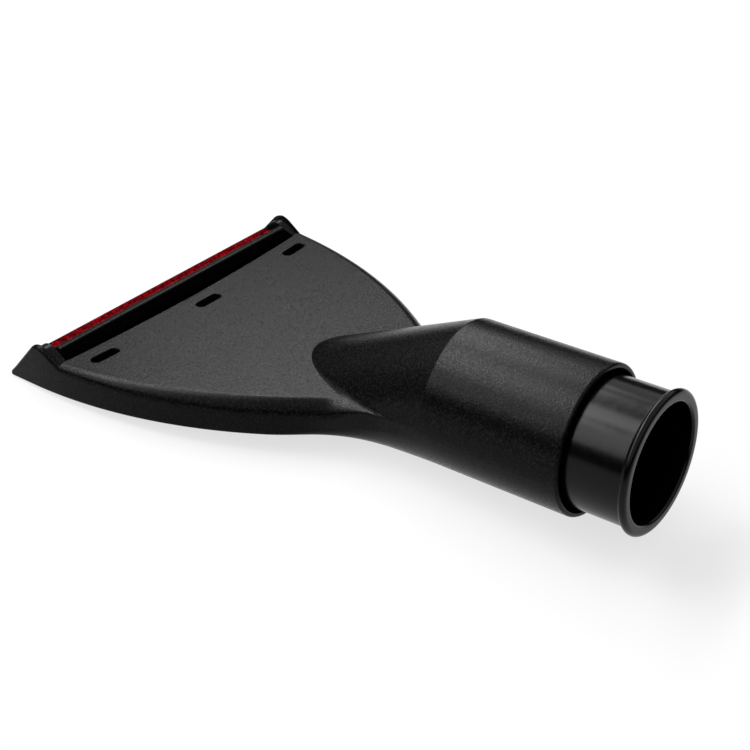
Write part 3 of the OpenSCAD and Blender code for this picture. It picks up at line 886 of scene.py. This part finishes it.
def red_velour(f):
    """Woven velour: tufts in rows, matted in patches, with a painted highlight at the tufts'
    middles and painted shade between them at their roots.
    """
    name = "velour"
    if name in bpy.data.materials:
        return bpy.data.materials[name]
    material = bpy.data.materials.new(name)
    material.use_nodes = True
    tree = material.node_tree
    shader = tree.nodes["Principled BSDF"]
    shader.inputs["Specular IOR Level"].default_value = 0.15
    shader.inputs["Sheen Weight"].default_value = 0.25
    shader.inputs["Sheen Roughness"].default_value = 0.4
    shader.inputs["Sheen Tint"].default_value = (1.0, 0.10, 0.12, 1)
    shader.inputs["Roughness"].default_value = 0.9
    where = tree.nodes.new("ShaderNodeTexCoord")
    tufts = tree.nodes.new("ShaderNodeTexVoronoi")
    tufts.inputs["Scale"].default_value = 1000.0
    mats = tree.nodes.new("ShaderNodeTexNoise")
    mats.inputs["Scale"].default_value = 500.0
    mats.inputs["Detail"].default_value = 4.0
    # Painted highlight and shade: the tone is brightest at each tuft's middle and falls to the
    # shade tone between the tufts.
    tuft_highlight_and_shade = maths(tree, "MULTIPLY_ADD", tufts.outputs["Distance"], -1.5, 1.05)
    # Random patches move the tone lighter or darker. The same value is also the bump height.
    share = maths(tree, "ADD", tuft_highlight_and_shade, maths(
        tree, "MULTIPLY", maths(tree, "SUBTRACT", mats.outputs[0], 0.5), 1.2))
    share.node.use_clamp = True
    colour = tree.nodes.new("ShaderNodeMix")
    colour.data_type = "RGBA"
    colour.inputs["A"].default_value = (*f.velour_painted_shade_and_patches, 1)
    colour.inputs["B"].default_value = (*f.velour_painted_highlight_and_patches, 1)
    bump = tree.nodes.new("ShaderNodeBump")
    bump.inputs["Distance"].default_value = 0.00015
    link(tree, where.outputs["Object"], tufts.inputs["Vector"],
         where.outputs["Object"], mats.inputs["Vector"],
         share, colour.inputs["Factor"], colour.outputs["Result"], shader.inputs["Base Color"],
         share, bump.inputs["Height"], bump.outputs[0], shader.inputs["Normal"])
    return material


# Operators

def sizes_of(scene):
    return millimetres(scene.nozzle_head, scene.nozzle_mouth, scene.nozzle_sleeve,
                       scene.nozzle_bar)


class NOZZLE_OT_body(bpy.types.Operator):
    """Make the hollow body: fan, cheeks, vents, ramp and sleeve"""
    bl_idname = "nozzle.make_body"
    bl_label = "Body"

    def execute(self, context):
        s = sizes_of(context.scene)
        head = Head(s)
        body = body_skin(head)
        carve(body, mouth_cutter(head), *ledge_cutters(head))
        carve(body, vent_cutters(head), *tenon_cutters(head, s.tenon_gap))
        slot_y = head.tip_y + s.lip_in + s.slot_gap
        soften(body, s.edge_soft, lambda p: (
            p.y < slot_y + 0.2 and p.z > head.base_z(p.y) + s.floor_t + 0.5
            and abs(p.x) < head.ledge_x + 0.05
            and p.z > head.top_z(p.y) - (0.3 if abs(p.x) < head.cheek_x - 0.05 else 9)))
        shade(body)
        settle(body, s, satin_black(context.scene.nozzle_finish), "satin_black",
               "nozzle", "body")
        return {"FINISHED"}


class NOZZLE_OT_cuff(bpy.types.Operator):
    """Make the socket cuff with its bead, stop, snap rib and slits"""
    bl_idname = "nozzle.make_cuff"
    bl_label = "Socket cuff"

    def execute(self, context):
        s = sizes_of(context.scene)
        mouth = neck_y(s)
        socket_r, cuff_r = s.socket_d / 2, s.socket_d / 2 + s.cuff_wall
        cuff_len, stop = s.socket_depth + s.stop_t + s.slit_len + 1.4, s.socket_depth
        soft, ridge = 0.9, s.bead_len / 2
        bead = [(cuff_r + s.bead_h * math.cos(math.radians(a)),
                 -ridge + ridge * math.sin(math.radians(a))) for a in range(-84, 91, 6)]
        root = quarter(cuff_r + 0.3, -s.bead_len - 0.3, 0.3, 180, 96, 5)
        profile = quarter(socket_r + soft, -soft, soft, 90, 180, 6)
        profile += [(socket_r, y) for y in steps(-2, -stop, 6)]
        profile += [(socket_r, -stop), (socket_r - s.stop_h, -stop),
                    (socket_r - s.stop_h, -stop - s.stop_t), (socket_r, -stop - s.stop_t),
                    (socket_r, -cuff_len), (cuff_r, -cuff_len),
                    (cuff_r + s.rib_h, -cuff_len + s.rib_w / 2),
                    (cuff_r + s.rib_h, -cuff_len + s.rib_w), (cuff_r, -cuff_len + s.rib_w)]
        profile += [(cuff_r, y) for y in steps(-cuff_len + s.rib_w + 4, -s.bead_len - 0.4, 6)]
        profile += root + bead
        cuff = turned("socket_cuff_piece", [(r, y + mouth) for r, y in profile], 192)
        cutters = []
        for i in range(s.slit_count):
            half = s.slit_w / 2
            bm = slab([(-half, mouth - cuff_len - 1), (half, mouth - cuff_len - 1),
                       (half, mouth - cuff_len + s.slit_len),
                       (-half, mouth - cuff_len + s.slit_len)], socket_r - 3, cuff_r + 3, "z")
            bmesh.ops.rotate(bm, verts=bm.verts, matrix=Matrix.Rotation(
                math.tau * i / s.slit_count + 0.001, 3, "Y"))
            cutters.append(new_piece(f"slit {i}", bm))
        carve(cuff, *cutters)
        for turn in (s.seam_turn, s.seam_turn + math.pi):
            half, start = s.seam_w / 2, mouth - s.cuff_show - s.recess_depth + 0.5
            bm = slab([(-half, start), (half, start), (half, mouth - s.bead_len / 2),
                       (-half, mouth - s.bead_len / 2)], cuff_r - 0.6, cuff_r + s.seam_h, "z")
            bmesh.ops.rotate(bm, verts=bm.verts, matrix=Matrix.Rotation(turn, 3, "Y"))
            weld(cuff, new_piece("seam", bm))
        shade(cuff)
        settle(cuff, s, gloss_black(context.scene.nozzle_finish), "gloss_black",
               "cuff", "socket_cuff")
        return {"FINISHED"}


class NOZZLE_OT_bar(bpy.types.Operator):
    """Make the bar beside the suction slot, with its rounded lip"""
    bl_idname = "nozzle.make_bar"
    bl_label = "Strip bar"

    def execute(self, context):
        s = sizes_of(context.scene)
        head = Head(s)
        strip = Strip(head)
        foot = head.base_z(head.tip_y) + s.floor_t + s.tenon_gap
        heel, r = strip.lip_top - s.lip_h, s.lip_round
        lip = [(strip.lip_front + r - r * math.cos(a), strip.lip_top - r + r * math.sin(a))
               for a in steps(0, math.pi / 2, 5)]
        lip += [(strip.lip_back - r + r * math.sin(a), strip.lip_top - r + r * math.cos(a))
                for a in steps(0, math.pi / 2, 5) + [math.pi / 2]]
        outline = [(head.front_y(foot, s.bar_set), foot),
                   (strip.front - s.bar_edge, strip.low - 0.05), (strip.front, strip.low),
                   (strip.front, strip.low - s.strip_t),
                   (strip.lip_front, strip.lip_top - s.strip_t), *lip,
                   (strip.lip_back, heel),
                   (head.front_y(heel, s.bar_set + s.bar_wall), heel),
                   (head.front_y(foot, s.bar_set + s.bar_wall), foot)]
        half = head.cheek_x - s.bar_gap
        bar = new_piece("bar", slab(outline, -half, half, "x"))
        soften(bar, 0.35, lambda p: abs(p.x) > half - 0.01 and p.z > strip.low - 0.5,
               rounds=4)
        for tenon in tenon_cutters(head, 0):
            weld(bar, tenon)
        shade(bar)
        settle(bar, s, satin_black(context.scene.nozzle_finish), "satin_black",
               "nozzle", "strip_bar")
        return {"FINISHED"}


class Strip:
    """Where the velour strip lies on the bar."""

    def __init__(self, head):
        s = head.s
        self.s = s
        self.lip_back = head.tip_y + s.lip_in
        self.lip_front = self.lip_back - s.lip_w
        self.lip_top = head.top_z(self.lip_back) + s.lip_rise
        self.front = self.lip_front - s.strip_w
        self.low = head.lobe_top(self.front - s.bar_edge, s.bar_set)

    def crown(self, u, sink):
        """Point (y, z) of the strip's face at u from its front, sunk for the pile."""
        rise = self.lip_top - self.s.strip_sink - self.low
        z = self.low + rise * u + 4 * self.s.strip_crown * u * (1 - u)
        return self.front + self.s.strip_w * u, z - sink


class NOZZLE_OT_strip(bpy.types.Operator):
    """Make the velour lint strip: its woven back and its pile"""
    bl_idname = "nozzle.make_strip"
    bl_label = "Lint strip"

    def execute(self, context):
        s = sizes_of(context.scene)
        head = Head(s)
        strip = Strip(head)
        bar_end, sink = head.cheek_x - s.bar_gap, s.pile_h * 0.6
        far, near = s.strip_far - bar_end, bar_end - s.strip_short
        face = [strip.crown(i / 24, sink) for i in range(25)]
        outline = [(strip.lip_front, strip.lip_top - s.strip_t),
                   (strip.front, strip.low - s.strip_t), *face]
        back = new_piece("strip_back", slab(outline, far, near, "x"))
        shade(back)
        velour = red_velour(context.scene.nozzle_finish)

        bm = bmesh.new()
        rows = [[bm.verts.new((x, y, z)) for y, z in face]
                for x in steps(far + 0.1, near - 0.1, 40) + [near - 0.1]]
        for low, high in zip(rows, rows[1:]):
            for i in range(len(face) - 1):
                bm.faces.new((low[i], high[i], high[i + 1], low[i + 1]))
        pile = new_piece("strip_pile", bm)
        tree = pile_tree()
        tufts = pile.modifiers.new("pile", "NODES")
        tufts.node_group = tree
        for name, value in (("Density", float(s.pile_density)), ("Height", s.pile_h),
                            ("Thickness", s.pile_d), ("Lean", s.pile_lean),
                            ("Seed", s.pile_seed), ("Material", velour)):
            node_input(tufts, tree, name, value)
        evaluated(pile)
        if len(pile.data.polygons) < 1000:
            raise RuntimeError("the strip has no pile")
        settle(back, s, velour, "red_velour", "nozzle", "lint_strip")
        settle(pile, s, velour, "red_velour", "nozzle")
        return {"FINISHED"}


def pile_tree():
    """Geometry Nodes: leaning three-sided tufts scattered over a face."""
    tree, given, made = tree_with(
        "velour pile", "GeometryNodeTree",
        [("Geometry", "NodeSocketGeometry", None), ("Density", "NodeSocketFloat", 30.0),
         ("Height", "NodeSocketFloat", 0.55), ("Thickness", "NodeSocketFloat", 0.12),
         ("Lean", "NodeSocketFloat", 0.4), ("Seed", "NodeSocketInt", 7),
         ("Material", "NodeSocketMaterial", None)],
        [("Geometry", "NodeSocketGeometry")])
    scatter = tree.nodes.new("GeometryNodeDistributePointsOnFaces")
    tuft = tree.nodes.new("GeometryNodeMeshCone")
    tuft.fill_type = "NONE"
    tuft.inputs["Vertices"].default_value = 3
    lean = tree.nodes.new("FunctionNodeRandomValue")
    lean.data_type = "FLOAT_VECTOR"
    high = tree.nodes.new("ShaderNodeCombineXYZ")
    low = tree.nodes.new("ShaderNodeVectorMath")
    low.operation = "SCALE"
    low.inputs["Scale"].default_value = -1.0
    turn = tree.nodes.new("FunctionNodeRotateRotation")
    turn.rotation_space = "LOCAL"
    euler = tree.nodes.new("FunctionNodeEulerToRotation")
    size = tree.nodes.new("FunctionNodeRandomValue")
    size.data_type = "FLOAT"
    size.inputs["Min"].default_value = 0.7
    size.inputs["Max"].default_value = 1.15
    set_on = tree.nodes.new("GeometryNodeInstanceOnPoints")
    real = tree.nodes.new("GeometryNodeRealizeInstances")
    finish = tree.nodes.new("GeometryNodeSetMaterial")
    thick = given.outputs["Thickness"]
    size_out = next(o for o in size.outputs if o.enabled)
    lean_out = next(o for o in lean.outputs if o.enabled)
    link(tree, given.outputs["Geometry"], scatter.inputs["Mesh"],
         given.outputs["Density"], scatter.inputs["Density"],
         given.outputs["Seed"], scatter.inputs["Seed"],
         maths(tree, "MULTIPLY", thick, 0.5), tuft.inputs["Radius Bottom"],
         maths(tree, "MULTIPLY", thick, 0.12), tuft.inputs["Radius Top"],
         given.outputs["Height"], tuft.inputs["Depth"],
         given.outputs["Lean"], high.inputs["X"], given.outputs["Lean"], high.inputs["Y"],
         high.outputs[0], low.inputs[0],
         low.outputs[0], lean.inputs["Min"], high.outputs[0], lean.inputs["Max"],
         given.outputs["Seed"], lean.inputs["Seed"],
         maths(tree, "ADD", given.outputs["Seed"], 1.0), size.inputs["Seed"],
         lean_out, euler.inputs[0],
         scatter.outputs["Rotation"], turn.inputs["Rotation"],
         euler.outputs[0], turn.inputs["Rotate By"],
         scatter.outputs["Points"], set_on.inputs["Points"],
         tuft.outputs["Mesh"], set_on.inputs["Instance"],
         turn.outputs[0], set_on.inputs["Rotation"],
         size_out, set_on.inputs["Scale"],
         set_on.outputs[0], real.inputs[0], real.outputs[0], finish.inputs[0],
         given.outputs["Material"], finish.inputs["Material"],
         finish.outputs[0], made.inputs[0])
    return tree


def seen(tree):
    """1 where a camera, glossy or transmission ray looks, else 0."""
    path = tree.nodes.new("ShaderNodeLightPath")
    either = maths(tree, "MAXIMUM", path.outputs["Is Camera Ray"],
                   path.outputs["Is Glossy Ray"])
    return maths(tree, "MAXIMUM", either, path.outputs["Is Transmission Ray"])


def lamp(name, power, size, spot, aim):
    """A soft area lamp at spot that shines at aim; neither is seen by the camera."""
    light = bpy.data.lights.new(name, "AREA")
    light.energy = power
    light.shape = "RECTANGLE"
    light.size, light.size_y = size
    holder = bpy.data.objects.new(name, light)
    bpy.context.scene.collection.objects.link(holder)
    holder.location = spot
    holder.rotation_mode = "QUATERNION"
    holder.rotation_quaternion = (Vector(spot) - Vector(aim)).to_track_quat("Z", "Y")
    holder.visible_camera = False
    return holder


def heading(azimuth, elevation):
    """Unit vector towards an azimuth from +x and an elevation, in degrees."""
    a, e = math.radians(azimuth), math.radians(elevation)
    return Vector((math.cos(a) * math.cos(e), math.sin(a) * math.cos(e), math.sin(e)))


def black_flag(height):
    """A black card all round the nozzle, which only the gloss of the plastic shows."""
    middle, reach = Vector((0, -0.09, 0)), 0.50
    bm = bmesh.new()
    feet = [middle + heading(a, 0) * reach for a in range(0, 360, 5)]
    rows = [[bm.verts.new((p.x, p.y, z)) for p in feet] for z in (TABLE_Z, TABLE_Z + height)]
    for i in range(len(feet)):
        j = (i + 1) % len(feet)
        bm.faces.new((rows[0][i], rows[0][j], rows[1][j], rows[1][i]))
    flag = new_piece("black_flag", bm)
    card = bpy.data.materials.new("black_card")
    card.use_nodes = True
    shader = card.node_tree.nodes["Principled BSDF"]
    shader.inputs["Base Color"].default_value = (0.004, 0.004, 0.004, 1)
    shader.inputs["Specular IOR Level"].default_value = 0.0
    flag.data.materials.append(card)
    flag.visible_camera = flag.visible_diffuse = flag.visible_shadow = False


class NOZZLE_OT_stage(bpy.types.Operator):
    """Make the floor, the surrounding light, the lamps and the camera"""
    bl_idname = "nozzle.make_stage"
    bl_label = "Stage"

    def execute(self, context):
        scene, st = context.scene, context.scene.nozzle_stage
        half = 4.0
        bm = bmesh.new()
        bmesh.ops.create_grid(bm, x_segments=8, y_segments=8, size=half)
        floor = new_piece("floor", bm)
        floor.data.transform(Matrix.Translation((0, 0, TABLE_Z)))
        paper = bpy.data.materials.new("floor_paper")
        paper.use_nodes = True
        shader = paper.node_tree.nodes["Principled BSDF"]
        shader.inputs["Roughness"].default_value = 0.9
        shader.inputs["Specular IOR Level"].default_value = 0.0
        shader.inputs["Emission Color"].default_value = (1, 1, 1, 1)
        tree = paper.node_tree
        where = tree.nodes.new("ShaderNodeTexCoord")
        far = tree.nodes.new("ShaderNodeVectorMath")
        far.operation = "LENGTH"
        near = tree.nodes.new("ShaderNodeMapRange")
        near.interpolation_type = "SMOOTHSTEP"
        near.inputs["From Min"].default_value = st.floor_near
        near.inputs["From Max"].default_value = st.floor_far
        near.inputs["To Min"].default_value = 1.0
        near.inputs["To Max"].default_value = 0.0
        glow = maths(tree, "MULTIPLY_ADD", near.outputs[0], st.floor_level - 1.0, 1.0)
        link(tree, where.outputs["Object"], far.inputs[0],
             far.outputs["Value"], near.inputs["Value"],
             maths(tree, "MULTIPLY", near.outputs[0], st.floor_tone),
             shader.inputs["Base Color"],
             maths(tree, "MULTIPLY", seen(tree), glow), shader.inputs["Emission Strength"])
        floor.data.materials.append(paper)

        world = bpy.data.worlds.new("plain surroundings")
        world.use_nodes = True
        scene.world = world
        back = world.node_tree.nodes["Background"]
        back.inputs["Color"].default_value = (1, 1, 1, 1)
        level = world.node_tree.nodes.new("ShaderNodeMapRange")
        level.inputs["To Min"].default_value = st.sky_level
        level.inputs["To Max"].default_value = 1.0
        link(world.node_tree, seen(world.node_tree), level.inputs["Value"],
             level.outputs[0], back.inputs["Strength"])

        middle = Vector((0, -0.09, 0))
        for name, power, wide, high, azimuth, elevation in (
                ("key strip", st.key_power, 2.31, 0.35, 270, 54),
                ("fill lamp", st.fill_power, 0.74, 0.63, 291, 58),
                ("back lamp", st.back_power, 0.64, 0.5, 224.5, 34.5),
                ("side lamp", st.side_power, 0.85, 1.2, 323, 33)):
            lamp(name, power, (wide, high), middle + heading(azimuth, elevation)
                 * st.lamp_reach, middle)
        black_flag(st.flag_height)

        camera = bpy.data.cameras.new("camera")
        camera.lens = st.camera_lens
        camera.sensor_width = 36
        camera.clip_start, camera.clip_end = 0.01, 50
        holder = bpy.data.objects.new("camera", camera)
        scene.collection.objects.link(holder)
        holder.location = st.camera_place
        holder.rotation_euler = st.camera_turn
        scene.camera = holder
        scene.view_settings.view_transform = "Standard"
        return {"FINISHED"}


class NOZZLE_PT_panel(bpy.types.Panel):
    """Lists the nozzle's pieces and their sizes"""
    bl_idname = "NOZZLE_PT_panel"
    bl_label = "Upholstery Nozzle"
    bl_space_type = "VIEW_3D"
    bl_region_type = "UI"
    bl_category = "Nozzle"

    def draw(self, context):
        for step in OPERATORS:
            self.layout.operator(step.bl_idname)
        for name in GROUPS:
            group = getattr(context.scene, name)
            box = self.layout.box()
            for key in group.bl_rna.properties.keys():
                if key not in ("rna_type", "name"):
                    box.prop(group, key)


GROUPS = {"nozzle_head": NozzleHeadSizes, "nozzle_mouth": NozzleMouthSizes,
          "nozzle_sleeve": NozzleSleeveSizes, "nozzle_bar": NozzleBarSizes,
          "nozzle_finish": NozzleFinishes, "nozzle_stage": NozzleStageSettings}
OPERATORS = (NOZZLE_OT_body, NOZZLE_OT_cuff, NOZZLE_OT_bar, NOZZLE_OT_strip,
             NOZZLE_OT_stage)
CLASSES = (*GROUPS.values(), *OPERATORS, NOZZLE_PT_panel)


def register():
    for cls in CLASSES:
        bpy.utils.register_class(cls)
    for name, group in GROUPS.items():
        setattr(bpy.types.Scene, name, bpy.props.PointerProperty(type=group))


def unregister():
    for name in GROUPS:
        delattr(bpy.types.Scene, name)
    for cls in reversed(CLASSES):
        bpy.utils.unregister_class(cls)


def main():
    register()
    bpy.ops.nozzle.make_body()
    bpy.ops.nozzle.make_cuff()
    bpy.ops.nozzle.make_bar()
    bpy.ops.nozzle.make_strip()
    bpy.ops.nozzle.make_stage()


if __name__ == "__main__":
    main()
